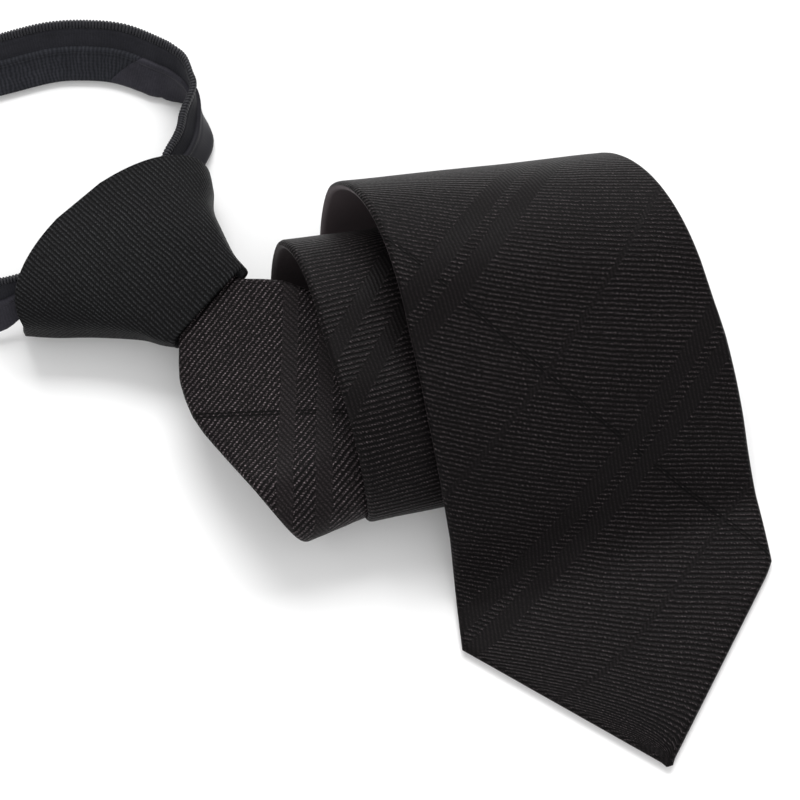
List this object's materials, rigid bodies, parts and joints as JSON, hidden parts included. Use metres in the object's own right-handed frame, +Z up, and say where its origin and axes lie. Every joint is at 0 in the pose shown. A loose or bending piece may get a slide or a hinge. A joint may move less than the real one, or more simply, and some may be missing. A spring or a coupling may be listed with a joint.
{
  "type": "zipper tie",
  "caption": "Pre-tied necktie whose neck loop opens along a zipper behind the knot, with a broad pointed blade rolled up in loose turns",
  "frame": {"origin": "middle of the underside of the whole tie's box, on the surface that it lies on", "axes": "+Z up off the surface, +X from the far end of the neck loop to the blade's side, -Y towards the pointed end"},
  "size_m": [0.3398, 0.199, 0.0497],
  "materials": {
    "tie_fabric": "satin twill",
    "knot_fabric": "satin twill",
    "strap_fabric": "smooth satin",
    "strap_lining": "ribbed weave",
    "zip_tape": "matt weave",
    "zip_teeth": "moulded coil",
    "slider": "plain"
  },
  "bodies": {
    "root": {"blade": "tie_fabric", "knot": "knot_fabric", "strap_right": "strap_fabric", "strap_left": "strap_fabric", "strap_back": "strap_lining", "zip_tape_right": "zip_tape", "zip_tape_left": "zip_tape", "zip_teeth_right": "zip_teeth", "zip_teeth_left": "zip_teeth", "zip_slider": "slider"}
  },
  "joints": []
}
